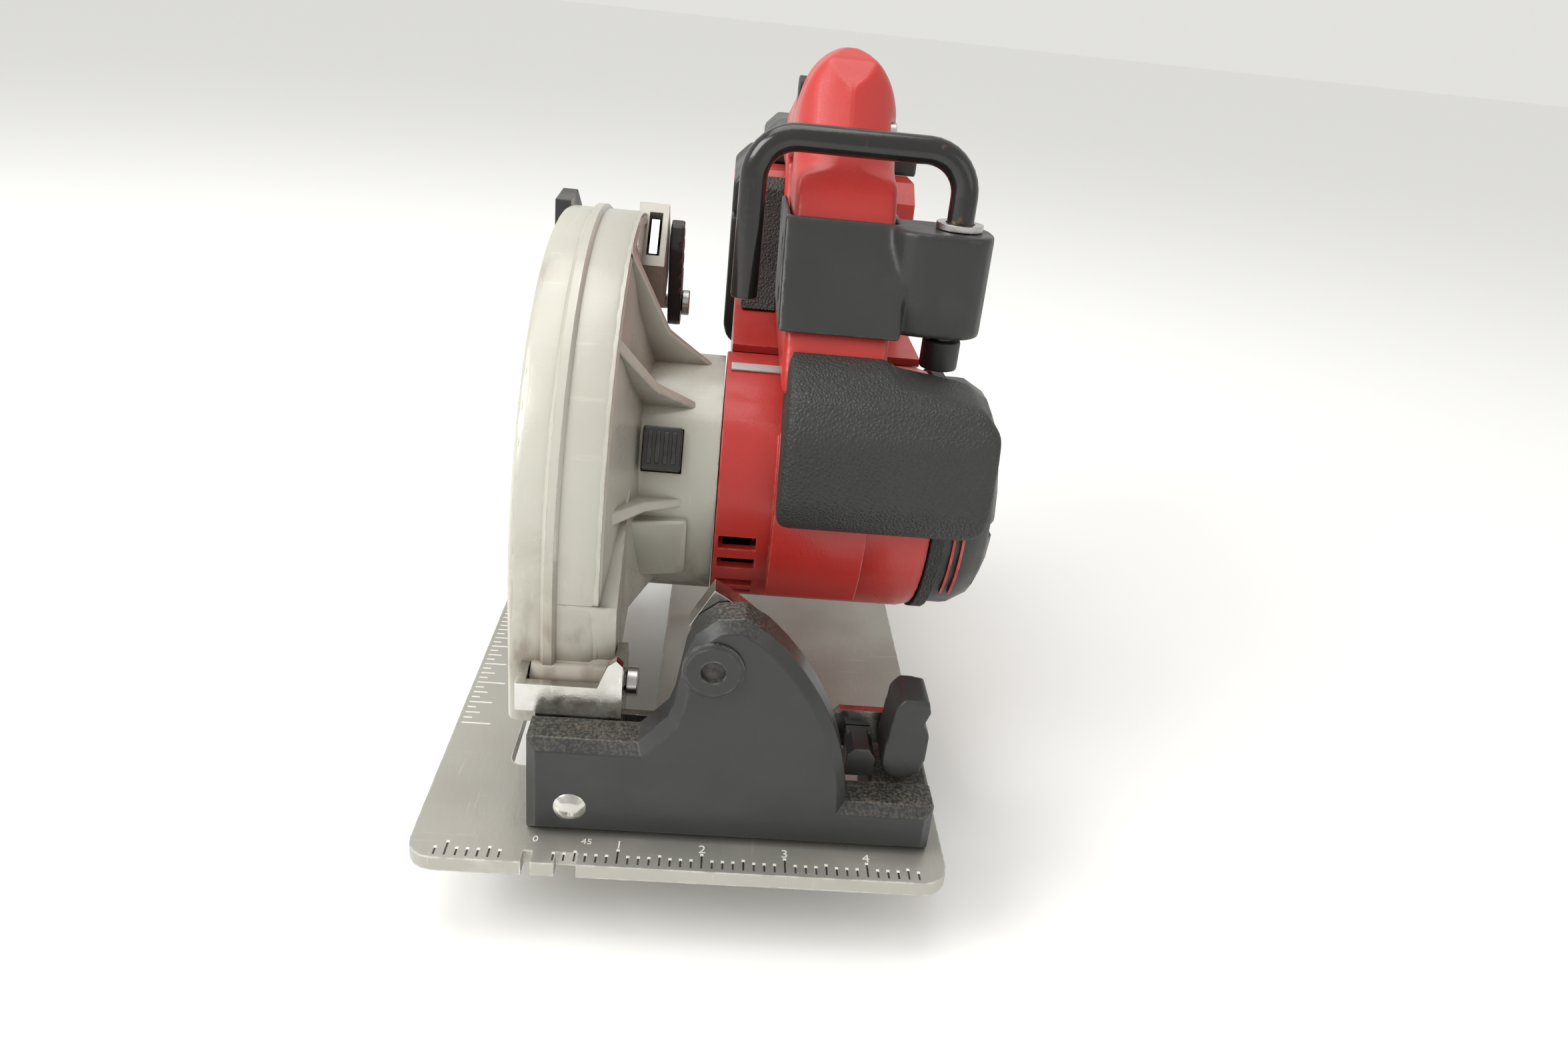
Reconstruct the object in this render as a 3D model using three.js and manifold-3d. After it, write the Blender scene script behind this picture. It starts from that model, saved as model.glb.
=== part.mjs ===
// Cordless circular saw, blade on the left of the motor, resting pitched nose-down on its depth pivot.
// Millimetres, +Z up, +X towards the motor, +Y towards the rear. The sole of the shoe is Z = 0.
import * as THREE from "three";
import { mergeVertices } from "three/addons/utils/BufferGeometryUtils.js";
import Module from "manifold-3d";

const wasm = await Module();
wasm.setup();

// ---- driving dimensions -------------------------------------------------------------------
const GAP = 0.3; // clearance kept between neighbouring pieces
const ORIGIN = { x: 80, y: 130 }; // origin on the sole, measured from the cut line and the front edge

// shoe, measured from the cut line (X), the front edge (Y) and the sole (Z)
const SHOE = { left: -37, right: 126.5, length: 290, top: 5, corner: 8 };
const SLOT = { left: -14.5, right: 31, front: 45.5, back: 246 };

// axes: bevel runs along Y, depth pivot along X
const BEVEL = { x: 9.8, z: 16.3 };
const PIVOT = { y: 39, z: 45 };
const REST_PITCH = THREE.MathUtils.degToRad(22);

// upper assembly, measured from the depth pivot with the saw at full depth
const ARBOR = { y: 101.2, z: -13.9 };
const MOTOR = { y: 86.2, z: 10.5, radius: 43.5, left: 47.3, right: 119 };
const BLADE = { radius: 92, left: -2.25, right: -0.45, teeth: 24 };
const GUARD = { radius: 101, band: 3, left: -13, right: 14, wall: 2.8, bottom: -26 };
const LOWER = { radius: 95.5, wall: 1.5, left: -8.5, right: 8.5, from: 178, to: 323 };
const DEPTH_BOLT = { y: 163.2, z: 27.7 };
const ARC_PLATE = { inner: 158, outer: 173, left: 16, right: 19 };


// handle and battery, measured like the shoe with the saw at rest
const HANDLE = { middle: 81, half: 16.5 };
const BATTERY = { left: 45, right: 121, front: 225, back: 320, bottom: 103, split: 160, top: 181 };

const RED = { color: 0xb8282c, roughness: 0.5, metalness: 0 };
const RUBBER = { color: 0x2c2d2f, roughness: 0.8, metalness: 0 };
const BLACK = { color: 0x26282b, roughness: 0.55, metalness: 0 };
const GREY_PAINT = { color: 0xb9b8b0, roughness: 0.45, metalness: 0.1 };
const MAGNESIUM = { color: 0xb4b2ae, roughness: 0.4, metalness: 0.8 };
const ZINC = { color: 0xc9cccb, roughness: 0.22, metalness: 1 };
const STEEL = { color: 0x9c9ea0, roughness: 0.35, metalness: 1 };
const ENAMEL = { color: 0x121214, roughness: 0.2, metalness: 0.2 };
const COPPER = { color: 0xa9643a, roughness: 0.4, metalness: 0.9 };
const SILVER_FILM = { color: 0xc4c4c0, roughness: 0.35, metalness: 0.4 };

// ---- geometry helpers -----------------------------------------------------------------------
const AXES = {
  x: new THREE.Matrix4().makeBasis(
    new THREE.Vector3(0, 1, 0), new THREE.Vector3(0, 0, 1), new THREE.Vector3(1, 0, 0)),
  y: new THREE.Matrix4().makeBasis(
    new THREE.Vector3(1, 0, 0), new THREE.Vector3(0, 0, 1), new THREE.Vector3(0, -1, 0)),
  z: new THREE.Matrix4(),
};

// Outline [[u, v], ...] swept from low to high along an axis: (y, z) for x, (x, z) for y, (x, y) for z.
function prism(axis, outline, low, high, holes = []) {
  const shape = new THREE.Shape(outline.map(([u, v]) => new THREE.Vector2(u, v)));
  shape.holes = holes.map((hole) => new THREE.Path(hole.map(([u, v]) => new THREE.Vector2(u, v))));
  const geometry = new THREE.ExtrudeGeometry(shape, { depth: high - low, bevelEnabled: false });
  geometry.applyMatrix4(AXES[axis]);
  const start = axis === "x" ? [low, 0, 0] : axis === "y" ? [0, high, 0] : [0, 0, low];
  return geometry.translate(...start);
}

function box(x0, x1, y0, y1, z0, z1) {
  return new THREE.BoxGeometry(x1 - x0, y1 - y0, z1 - z0)
    .translate((x0 + x1) / 2, (y0 + y1) / 2, (z0 + z1) / 2);
}

// Points on an arc about (cu, cv), angles in degrees.
function arc(cu, cv, radius, from, to, steps) {
  const points = [];
  for (let i = 0; i <= steps; i += 1) {
    const angle = THREE.MathUtils.degToRad(from + ((to - from) * i) / steps);
    points.push([cu + radius * Math.cos(angle), cv + radius * Math.sin(angle)]);
  }
  return points;
}

function circle(cu, cv, radius, steps = 16) {
  return arc(cu, cv, radius, 0, 360 - 360 / steps, steps - 1);
}

// Disc or ring about a line along an axis through (cu, cv).
function disc(axis, cu, cv, radius, low, high, bore = 0, steps = 16) {
  const holes = bore > 0 ? [circle(cu, cv, bore, steps).reverse()] : [];
  return prism(axis, circle(cu, cv, radius, steps), low, high, holes);
}

function sector(cu, cv, inner, outer, from, to, steps) {
  return [...arc(cu, cv, outer, from, to, steps), ...arc(cu, cv, inner, to, from, steps)];
}

// Closed (x, radius) profile turned about a line along X through (y, z).
function turned(profile, y, z, steps = 28) {
  const points = profile.map(([x, radius]) => new THREE.Vector2(radius, x));
  points.push(points[0].clone());
  const geometry = new THREE.LatheGeometry(points, steps);
  return geometry.rotateZ(-Math.PI / 2).translate(0, y, z);
}

function rounded(u0, u1, v0, v1, radius, steps = 4) {
  return [
    ...arc(u1 - radius, v0 + radius, radius, -90, 0, steps),
    ...arc(u1 - radius, v1 - radius, radius, 0, 90, steps),
    ...arc(u0 + radius, v1 - radius, radius, 90, 180, steps),
    ...arc(u0 + radius, v0 + radius, radius, 180, 270, steps),
  ];
}

function tube(points, radius, sides, steps) {
  const curve = new THREE.CatmullRomCurve3(points.map((p) => new THREE.Vector3(...p)), false, "centripetal");
  const section = new THREE.Shape(circle(0, 0, radius, sides).map(([u, v]) => new THREE.Vector2(u, v)));
  return new THREE.ExtrudeGeometry(section, { steps, extrudePath: curve });
}

function solid(geometry) {
  const bare = geometry.clone();
  bare.deleteAttribute("normal");
  bare.deleteAttribute("uv");
  const merged = mergeVertices(bare, 1e-4);
  return new wasm.Manifold(new wasm.Mesh({
    numProp: 3,
    vertProperties: new Float32Array(merged.attributes.position.array),
    triVerts: new Uint32Array(merged.index.array),
  }));
}

function surface(manifold) {
  const mesh = manifold.getMesh();
  const geometry = new THREE.BufferGeometry();
  geometry.setAttribute("position", new THREE.BufferAttribute(new Float32Array(mesh.vertProperties), 3));
  geometry.setIndex(new THREE.BufferAttribute(new Uint32Array(mesh.triVerts), 1));
  geometry.computeVertexNormals();
  return geometry;
}

function join(...geometries) {
  return surface(geometries.map(solid).reduce((a, b) => a.add(b)));
}

function cut(geometry, ...tools) {
  return surface(tools.map(solid).reduce((a, b) => a.subtract(b), solid(geometry)));
}

function common(a, b) {
  return surface(solid(a).intersect(solid(b)));
}

const saw = new THREE.Group();
saw.position.set(-ORIGIN.x, -ORIGIN.y, 0);
const upper = new THREE.Group();
upper.position.set(0, PIVOT.y, PIVOT.z);
upper.rotation.x = REST_PITCH;
saw.add(upper);

function piece(parent, name, geometry, finish) {
  const mesh = new THREE.Mesh(geometry, new THREE.MeshStandardMaterial(finish));
  mesh.name = name;
  parent.add(mesh);
}

// ---- shoe -----------------------------------------------------------------------------------
function shoePlate() {
  const { left, right, length, top, corner } = SHOE;
  const outline = rounded(left, right, 0, length, corner);
  const slot = rounded(SLOT.left, SLOT.right, SLOT.front, SLOT.back, 4);
  const plate = prism("z", outline, 0, top, [slot.reverse()]);
  const cutLineNotch = box(-2.7, 0, -1, 5, -1, top + 1);
  const bevelNotch = box(7.1, 13.6, -1, 5, -1, top + 1);
  const screws = [40, 108].map((x) => disc("z", x, 19, 2.6, -1, top + 1, 0, 12));
  const heads = [40, 108].map((x) => disc("z", x, 19, 4.8, -1, 2.2, 0, 12));
  return cut(plate, cutLineNotch, bevelNotch, ...screws, ...heads);
}

function frontBracket() {
  const front = 12;
  const back = 25.8;
  const lobe = 84;
  const outline = [
    [-3.8, SHOE.top + GAP], [121.5, SHOE.top + GAP], [121.5, 22],
    ...arc(BEVEL.x, BEVEL.z, lobe, 4, 50, 12),
    [58, 84], [50, 83], [44, 78], [41.5, 71], [39, 54], [37.5, 49], [29, 39.4], [-3.8, 39.4],
  ];
  const body = prism("y", outline, front, back);
  const shelf = box(102, 121.5, back - 1, 48, SHOE.top + GAP, 22);
  const rivetBore = disc("y", BEVEL.x, BEVEL.z, 4.3, front - 1, back + 1);
  const rivetSeat = disc("y", BEVEL.x, BEVEL.z, 5.8, front - 1, front + 1.2);
  const stopBore = disc("y", 49.8, 68.4, 3.1, front - 1, back + 1, 0, 12);
  const screwBores = [40, 108].map((x) => disc("z", x, 19, 2.3, 0, 15, 0, 12));
  return cut(join(body, shelf), rivetBore, rivetSeat, stopBore, ...screwBores);
}

function bracketScrew(x) {
  const head = turned([[0.2, 0], [0.2, 4.4], [1.9, 4.4], [1.9, 0]], 0, 0, 12);
  const shank = turned([[1, 0], [1, 2], [14, 2], [14, 0]], 0, 0, 12);
  return join(head, shank).rotateY(-Math.PI / 2).translate(x, 19, 0);
}

function domedRivet(frontFace, backFace, shank) {
  const dome = [[0, 2.2], [3, 1.7], [5.4, 0]];
  const profile = [
    [-dome[0][1], 0], ...dome.slice(1).map(([r, h]) => [-h, r]), [0.5, 5.4], [0.5, shank],
    [backFace - frontFace, shank], [backFace - frontFace, 5.5], [backFace - frontFace + 1.6, 5.5],
    [backFace - frontFace + 1.6, 0],
  ];
  const points = profile.map(([h, r]) => new THREE.Vector2(r, h));
  return new THREE.LatheGeometry(points, 20).translate(0, frontFace, 0).translate(BEVEL.x, 0, BEVEL.z);
}

function stopScrew() {
  return disc("y", 49.8, 68.4, 2.7, 16, 25, 0, 12);
}

function quadrant() {
  const rim = sector(BEVEL.x, BEVEL.z, 66, 80, 0, 61, 20);
  const foot = [[60, SHOE.top + GAP], [89.5, SHOE.top + GAP], [89.5, 22], [72, 22]];
  return join(prism("y", rim, 26.2, 34), prism("y", foot, 26.2, 34));
}

function rearBracket() {
  const front = 256.5;
  const upright = [[-6, SHOE.top + GAP], [27, SHOE.top + GAP], [22, 25], [17, 29], [2, 29], [-2, 25]];
  const plate = prism("y", upright, front, front + 4);
  const foot = box(-6, 27, front + 1, front + 22, SHOE.top + GAP, 9);
  return cut(join(plate, foot), disc("y", BEVEL.x, BEVEL.z, 4.3, front - 1, front + 30));
}

// ---- tilting frame --------------------------------------------------------------------------
function frontArm() {
  const wall = [
    [-8.8, 40.5], [20, 40.5], [23, 43], [23, 58], [21, 60], [18.5, 58], [15.5, 50], [-8.8, 50],
  ];
  const clevisFront = prism("y", wall, 26.3, 29.3);
  const neck = [
    ...arc(BEVEL.x, BEVEL.z, 9.8, 180, 360, 10), [23, 36], [23, 43], [-3, 43], [-3, 36],
  ];
  const neckPlate = prism("y", neck, 26.3, 29.3);
  const ear = [[26.5, 40.5], [47, 40.5], [47, 48], [43, 51.5], [34, 51.5], [26.5, 50]];
  const leftEar = prism("x", ear, -9.2, -6.2);
  const rightEar = prism("x", [[26.5, 24], [44, 24], [48, 40.5], [48, 50], [44, 56], [26.5, 58]], 20, 23);
  const strut = [[20, 24], [96, 24], [98, 26], [118.5, 26], [118.5, 38], [92, 38], [86, 31], [20, 31]];
  const strutPlate = prism("y", strut, 41, 44);
  const body = join(clevisFront, neckPlate, leftEar, rightEar, strutPlate);
  const boltBore = disc("y", 111.5, 31, 2.4, 40, 45, 0, 12);
  return cut(
    body,
    disc("y", BEVEL.x, BEVEL.z, 4.3, 20, 32),
    disc("x", PIVOT.y, PIVOT.z, 3.3, -12, 30),
    boltBore,
  );
}

function depthPin() {
  return turned([[-9.8, 0], [-9.8, 3], [23.4, 3], [23.4, 4.6], [27, 4.6], [27, 0]],
    PIVOT.y, PIVOT.z, 20);
}

function clampBlock() {
  const outline = [[94, 23], [103, 23], [103, 30], [101, 33], [96, 33], [94, 31]];
  return join(prism("y", outline, 27, 38), box(94.5, 102.5, 37, 40.7, 26.5, 32.5));
}

function bevelBolt() {
  return join(disc("y", 111.5, 31, 2.1, 34, 46, 0, 12), disc("y", 111.5, 31, 5, 44.3, 47, 0, 6));
}

function bevelKnob() {
  const outline = [
    ...arc(111.5, 31, 7, 180, 360, 8), [118.5, 41], [116.5, 45], [118, 49], [117, 53], [109, 53.5], [106.5, 50],
  ];
  const body = prism("y", outline, 25, 40.5);
  return cut(body, disc("y", 111.5, 31, 2.4, 33.6, 42, 0, 12));
}

function rearArm() {
  const { inner, outer, left, right } = ARC_PLATE;
  const arcPlate = sector(PIVOT.y, PIVOT.z, inner, outer, -3, 44.5, 20);
  const slot = [
    ...arc(PIVOT.y, PIVOT.z, 168.9, 5, 42.3, 16), ...arc(PIVOT.y, PIVOT.z, 162.3, 42.3, 5, 16),
  ].reverse();
  const plate = prism("x", arcPlate, left, right, [slot]);
  const foot = prism("x", [[197, 37], [205, 12], [251, 9], [255, 9], [255, 28], [225, 30], [211.5, 38]], left, right);
  const pad = [[16, 9], [19, 9], [19, 27], [10, 27], ...arc(BEVEL.x, BEVEL.z, 9.5, 90, 300, 12)];
  const flange = prism("y", pad, 252.5, 255.5);
  return cut(join(plate, foot, flange), disc("y", BEVEL.x, BEVEL.z, 4.3, 250, 258));
}

// ---- blade drive ----------------------------------------------------------------------------
function toothed(cy, cz, pitchRadius, teeth, depth, low, high, bore) {
  const outline = [];
  for (let i = 0; i < teeth; i += 1) {
    const step = 360 / teeth;
    for (const [share, radius] of [[0, pitchRadius], [0.3, pitchRadius], [0.5, pitchRadius - depth],
      [0.8, pitchRadius - depth]]) {
      outline.push(...arc(cy, cz, radius, (i + share) * step, (i + share) * step, 1).slice(0, 1));
    }
  }
  return prism("x", outline, low, high, [circle(cy, cz, bore, 16).reverse()]);
}

function blade() {
  const { radius, left, right, teeth } = BLADE;
  const outline = [];
  const step = 360 / teeth;
  for (let i = 0; i < teeth; i += 1) {
    for (const [share, r] of [[0, radius], [0.2, radius - 8], [0.36, radius - 9.5], [0.7, radius - 3]]) {
      outline.push(...arc(ARBOR.y, ARBOR.z, r, (i + share) * step, (i + share) * step, 1).slice(0, 1));
    }
  }
  return prism("x", outline, left, right, [circle(ARBOR.y, ARBOR.z, 8.2, 20).reverse()]);
}

function spindle() {
  return turned([[-2.4, 0], [-2.4, 7.8], [6, 7.8], [6, 9.7], [8.8, 9.7], [8.8, 7.4], [40.5, 7.4], [40.5, 0]],
    ARBOR.y, ARBOR.z, 20);
}

function flange(low, high, bore, rim) {
  return disc("x", ARBOR.y, ARBOR.z, rim, low, high, bore, 28);
}

function bladeBolt() {
  return join(disc("x", ARBOR.y, ARBOR.z, 9, -9, -6.3, 0, 20), disc("x", ARBOR.y, ARBOR.z, 6.5, -13, -8, 0, 6));
}

// ---- guards ---------------------------------------------------------------------------------
const FRONT_EDGE = [[-7.8, -14.8], [7.6, 23.9]]; // straight front edge of the guard, foot then head

function guardOutline(radius, inset) {
  const { y, z } = ARBOR;
  return [
    [FRONT_EDGE[1][0] + inset, FRONT_EDGE[1][1]], ...arc(y, z, radius, 154, -7, 26),
    [185, GUARD.bottom], [12, GUARD.bottom], [FRONT_EDGE[0][0] + inset + 6, -18],
    [FRONT_EDGE[0][0] + inset, FRONT_EDGE[0][1]],
  ].reverse();
}

function bandOnly(low, high) {
  const outer = prism("x", guardOutline(GUARD.radius, 0), low, high);
  const inner = prism("x", guardOutline(GUARD.radius - GUARD.band, GUARD.band), low - 1, high + 1);
  const ring = cut(outer, inner);
  const abovePin = prism("x", [[-30, 8.2], [20, 8.2], [20, GUARD.bottom + 8], [260, GUARD.bottom + 8],
    [260, 160], [-30, 160]], low - 2, high + 2);
  return common(ring, abovePin);
}

function guardCover() {
  const { left, wall } = GUARD;
  const side = prism("x", guardOutline(GUARD.radius, 0), left, left + wall);
  const opening = disc("x", ARBOR.y, ARBOR.z, 30, left - 1, left + 5, 0, 28);
  const belowArbor = box(left - 1, left + 5, ARBOR.y - 30, ARBOR.y + 30, GUARD.bottom - 2, ARBOR.z);
  const leverSlot = prism("x", sector(ARBOR.y, ARBOR.z, 56, 66, 4, 133, 18), left - 1, left + 5);
  const window = box(left - 1, 6, 2, 14, 12, 19);
  return cut(join(side, bandOnly(left, -GAP)), opening, belowArbor, leverSlot, window);
}

function upperGuard() {
  const { right, wall } = GUARD;
  const { y, z } = ARBOR;
  const side = prism("x", guardOutline(GUARD.radius, 0), right - wall, right);
  const caseFloor = SHOE.top + GAP - PIVOT.z; // lies just over the shoe at full depth
  const below = (height) => box(right - 5, MOTOR.left, y - 50, y + 50, height - 30, height);
  const gearCase = cut(
    join(
      disc("x", MOTOR.y, MOTOR.z, 42, right - wall, MOTOR.left - GAP, 0, 32),
      disc("x", y, z, 33, right - wall, 38, 0, 24),
    ),
    below(caseFloor),
  );
  const gearRoom = cut(
    join(
      disc("x", MOTOR.y, MOTOR.z, 39, right, MOTOR.left + 1, 0, 32),
      disc("x", y, z, 30, right, 35, 0, 24),
    ),
    below(caseFloor + 1.4),
  );
  const hub = disc("x", y, z, 17, 9, 21, 0, 24);
  const barrel = disc("x", 0, 0, 7.5, -5.8, 19.6, 0, 20);
  const web = prism("x", [[-5, 4], [4, -7], [12, 14], [8, 26], [1.6, 8.4]], GAP, 19.6);
  const chin = prism("x", [[0, 4], [14, -6], [44, -14], [60, 10], [50, 40], [8, 24]], right - wall, 19.6);
  const depthBox = prism("x", sector(0, 0, 152, 179, 13.5, 23, 5), right - wall, 22.2);
  const shell = join(side, bandOnly(0, right), gearCase, hub, barrel, web, chin, depthBox);
  const cavity = prism("x", sector(0, 0, 156.5, 175, 5, 45, 12), 15.2, 20);
  return cut(
    cut(shell, gearRoom),
    cavity,
    disc("x", 0, 0, 3.4, -20, 30),
    disc("x", y, z, 13.3, 12, 22, 0, 24),
    disc("x", y, z, 10.5, 5, 30, 0, 24),
    disc("x", y, z, 11.4, 34, 39, 0, 20),
    disc("x", DEPTH_BOLT.y, DEPTH_BOLT.z, 3.2, 5, 18, 0, 16),
  );
}

function gearPlate(low, high) {
  const plate = disc("x", MOTOR.y, MOTOR.z, 38.6, low, high, 0, 36);
  return cut(
    plate,
    disc("x", MOTOR.y, MOTOR.z, 8.3, low - 1, high + 1, 0, 20),
    disc("x", ARBOR.y, ARBOR.z, 11.3, low - 1, high + 1, 0, 20),
  );
}

function lowerGuard() {
  const { y, z } = ARBOR;
  const { radius, wall, left, right, from, to } = LOWER;
  const rim = prism("x", sector(y, z, radius - 2, radius, from, to, 28), left, right);
  const leftWall = prism("x", sector(y, z, 44, radius - 1, from, to, 24), left, left + wall);
  const leverArm = prism("x", sector(y, z, 44, 66, to - 3, 375, 8), left, left + wall);
  const rightWall = prism("x", sector(y, z, 20, radius - 1, from, to, 28), right - wall, right);
  const hub = disc("x", y, z, 25, right - wall, right, 17.4, 28);
  return cut(join(rim, leftWall, leverArm, rightWall, hub), disc("x", y, z, 17.4, right - 5, right + 1, 0, 28));
}

function guardLever() {
  const { y, z } = ARBOR;
  const stem = prism("x", sector(y, z, 58, 64, 8, 14, 2), -14.2, LOWER.left - GAP);
  const arm = prism("x", sector(y, z, 58, 80, 8, 14, 2), -16.6, -13.4);
  const tab = prism("x", sector(y, z, 68, 80, 6, 18, 3), -24, -13.4);
  return join(stem, arm, tab);
}

function guardSpring() {
  const points = [];
  const turns = 2;
  for (let i = 0; i <= turns * 8; i += 1) {
    const angle = (i / 8) * 2 * Math.PI;
    const along = 3.2 + (i / (turns * 8)) * 2.8;
    points.push([along, ARBOR.y + 14.4 * Math.cos(angle), ARBOR.z + 14.4 * Math.sin(angle)]);
  }
  return tube(points, 0.5, 5, turns * 12);
}

function dustChute() {
  return prism("x", [[150, 54], [163, 44], [196, 20], [204, 28], [176, 66], [158, 72]], -19, GUARD.left - GAP);
}

function depthLever() {
  const outline = [
    ...arc(DEPTH_BOLT.y, DEPTH_BOLT.z, 9, 180, 360, 10), [175, 52], [171, 60], [163, 62], [157, 56],
  ];
  const body = prism("x", outline, 22.8, 27.8);
  const teeth = [0, 1, 2, 3].map((i) => box(26.6, 29, 150, 180, 38 + i * 6, 39.6 + i * 6));
  return cut(body, ...teeth, disc("x", DEPTH_BOLT.y, DEPTH_BOLT.z, 3.3, 20, 30, 0, 16));
}

function depthBolt() {
  return turned([[11.5, 0], [11.5, 2.9], [28.1, 2.9], [28.1, 5], [31, 5], [31, 0]], DEPTH_BOLT.y, DEPTH_BOLT.z, 16);
}

const LOCK = { x0: 22.3, x1: 34.8, half: 7, angle: 37.8 }; // spindle-lock button on the gear-case neck

function lockBox(margin, low, high) {
  return box(LOCK.x0 - margin, LOCK.x1 + margin, -LOCK.half - margin, LOCK.half + margin, low, high)
    .rotateX(THREE.MathUtils.degToRad(LOCK.angle)).translate(0, MOTOR.y, MOTOR.z);
}

function spindleLock() {
  return lockBox(0, 36, 46);
}

// ---- motor ----------------------------------------------------------------------------------
function motorHousing() {
  const { y, z, radius, left, right } = MOTOR;
  const shell = turned([[left, 9.5], [left, 38.3], [left + 0.1, radius], [right - 4, radius],
    [right, radius - 1], [right, 40.4], [left + 3, 40.4], [left + 3, 9.5]], y, z, 36);
  const boss = prism("x", sector(y, z, radius - 1, radius + 3.5, 118, 196, 10), 66, 97);
  const slots = [168, 180, 196, 208].map((angle) =>
    box(left + 1.5, left + 14, radius - 8, radius + 4, -2.4, 2.4)
      .rotateX(THREE.MathUtils.degToRad(angle)).translate(0, y, z));
  return cut(join(shell, boss), ...slots);
}

function stator() {
  return disc("x", MOTOR.y, MOTOR.z, 39, 60, 98, 27, 32);
}

function rotor() {
  const { y, z } = MOTOR;
  const shaft = disc("x", y, z, 3.9, 29, 134, 0, 16);
  const core = disc("x", y, z, 26, 62, 96, 0, 28);
  const pinion = toothed(y, z, 4.9, 6, 1.2, 22.5, 29.8, 1);
  return join(shaft, core, pinion);
}

function fan() {
  const { y, z } = MOTOR;
  const hub = disc("x", y, z, 9, 102, 114, 4.2, 20);
  const plate = disc("x", y, z, 35, 102, 104, 4.2, 28);
  const blades = [];
  for (let i = 0; i < 7; i += 1) {
    blades.push(box(103, 113, 8, 34, -0.9, 0.9).rotateX((i * 2 * Math.PI) / 7).translate(0, y, z));
  }
  return join(hub, plate, ...blades);
}

function endCap() {
  const { y, z } = MOTOR;
  const shell = turned([[124.3, 41.5], [132, 41.5], [139, 37.5], [142, 32], [142, 0], [139.4, 0],
    [139.4, 30], [131, 38.5], [124.3, 38.5]], y, z, 24);
  const boss = disc("x", y, z, 11, 126, 140, 8.9, 24);
  const vents = [];
  for (let i = 0; i < 8; i += 1) {
    vents.push(box(126, 145, 17, 35, -2.6, 2.6).rotateX(((i + 0.5) * 2 * Math.PI) / 8).translate(0, y, z));
  }
  return cut(join(shell, boss), ...vents);
}

function ratingLabel() {
  return prism("x", sector(MOTOR.y, MOTOR.z, 43.9, 44.5, 88, 100, 3), 49, 63.5);
}

// ---- handle, given where it stands at rest ----------------------------------------------------
const GRIP_TOP = (y) => 231 - 0.181 * (y - 152);
const GRIP_UNDER = (y) => 199 - 0.2 * (y - 138);
const HANDLE_OUTLINE = [
  [74, 131.3], [158, 131.3], [170, 136], [182, 150], [186, 176], [196, 183.6], [224, 183.6], [224, 196.4],
  [318, 196.4], [315, GRIP_TOP(315)], [152, 231], [141, 231.6], [131, 228.5], [122, 220], [112, 205],
  [80, 150], [74, 136],
];
const HAND_OPENING = [
  [111, 143], [156, 143], [167, 148], [173, 158], [177, 178], [186, 189.4], [140, 198.6], [136, 187],
];
const TRIGGER_ROOM = [[146, 190], [197, 182], [197, 206], [146, 213]];

function handleShell(low, high) {
  const shell = prism("x", HANDLE_OUTLINE, low, high, [[...HAND_OPENING].reverse()]);
  const room = prism("x", TRIGGER_ROOM, HANDLE.middle - 8, HANDLE.middle + 8);
  const floor = prism("x", [[177.5, 175], [200, 175], [200, GRIP_UNDER(200) + 5], [177.5, GRIP_UNDER(177.5) + 5]],
    HANDLE.middle - 9, HANDLE.middle + 9);
  return cut(shell, cut(room, floor));
}

const HANDLE_SCREWS = [[127, 207], [262, 204]];

function handleRight() {
  const shell = handleShell(HANDLE.middle + GAP / 2, HANDLE.middle + HANDLE.half);
  const bores = HANDLE_SCREWS.map(([y, z]) => disc("x", y, z, 2, 83, 99, 0, 12));
  const seats = HANDLE_SCREWS.map(([y, z]) => disc("x", y, z, 4, 94, 99, 0, 16));
  return cut(shell, ...bores, ...seats);
}

const LOCK_OFF = { y: 160, z: 216 };

function handleLeft() {
  const shell = handleShell(HANDLE.middle - HANDLE.half, HANDLE.middle - GAP / 2);
  return cut(shell, disc("x", LOCK_OFF.y, LOCK_OFF.z, 5.4, 60, 76, 0, 16));
}

function handleScrew([y, z]) {
  return turned([[84, 0], [84, 1.6], [94.4, 1.6], [94.4, 3.6], [97, 3.6], [97, 0]], y, z, 12);
}

function trigger() {
  const outline = [[148, 206], [148, 197], [152, 188], [157, 185], [163, 187], [169, 194], [171, 204]];
  return prism("x", outline, HANDLE.middle - 7, HANDLE.middle + 7);
}

function triggerSwitch() {
  return prism("x", [[180, 197], [195, 194], [195, 204], [180, 206]], HANDLE.middle - 7.4, HANDLE.middle + 7.4);
}

function lockOff() {
  return join(
    disc("x", LOCK_OFF.y, LOCK_OFF.z, 5, 63, 70.6, 0, 16),
    disc("x", LOCK_OFF.y, LOCK_OFF.z, 3, 70, 72.5, 0, 12),
  );
}

function atRest(geometry) {
  return geometry.rotateX(REST_PITCH).translate(0, PIVOT.y, PIVOT.z);
}

function motorClearance(margin) {
  return atRest(disc("x", MOTOR.y, MOTOR.z, MOTOR.radius + margin, 40, 150, 0, 44));
}

function columnClearance() {
  const around = [[73.6, 130.9], [230, 130.9], [230, 240], [111.6, 205.2], [79.6, 150.2], [73.6, 136.2]];
  return prism("x", around, HANDLE.middle - HANDLE.half - 0.4, HANDLE.middle + HANDLE.half + 0.4);
}

function frontKnob() {
  const profile = [[60, 92], [54, 96], [51, 104], [52, 126], [57, 136], [68, 143], [80, 146], [86, 143],
    [88, 136], [88, 124], [82, 112], [76, 100], [68, 93]];
  const front = [[68, 92], [128, 92], [132, 98], [132, 130], [126, 137], [100, 141], [96, 150], [66, 150], [66, 95]];
  const knob = common(prism("x", profile, 60, 140), prism("y", front, 45, 100));
  return cut(knob, motorClearance(4), columnClearance());
}

const HOOK = { x: 117, y: 97, rod: 4.3, low: 140, high: 206, end: 156, left: 51, bend: 13 };

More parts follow.
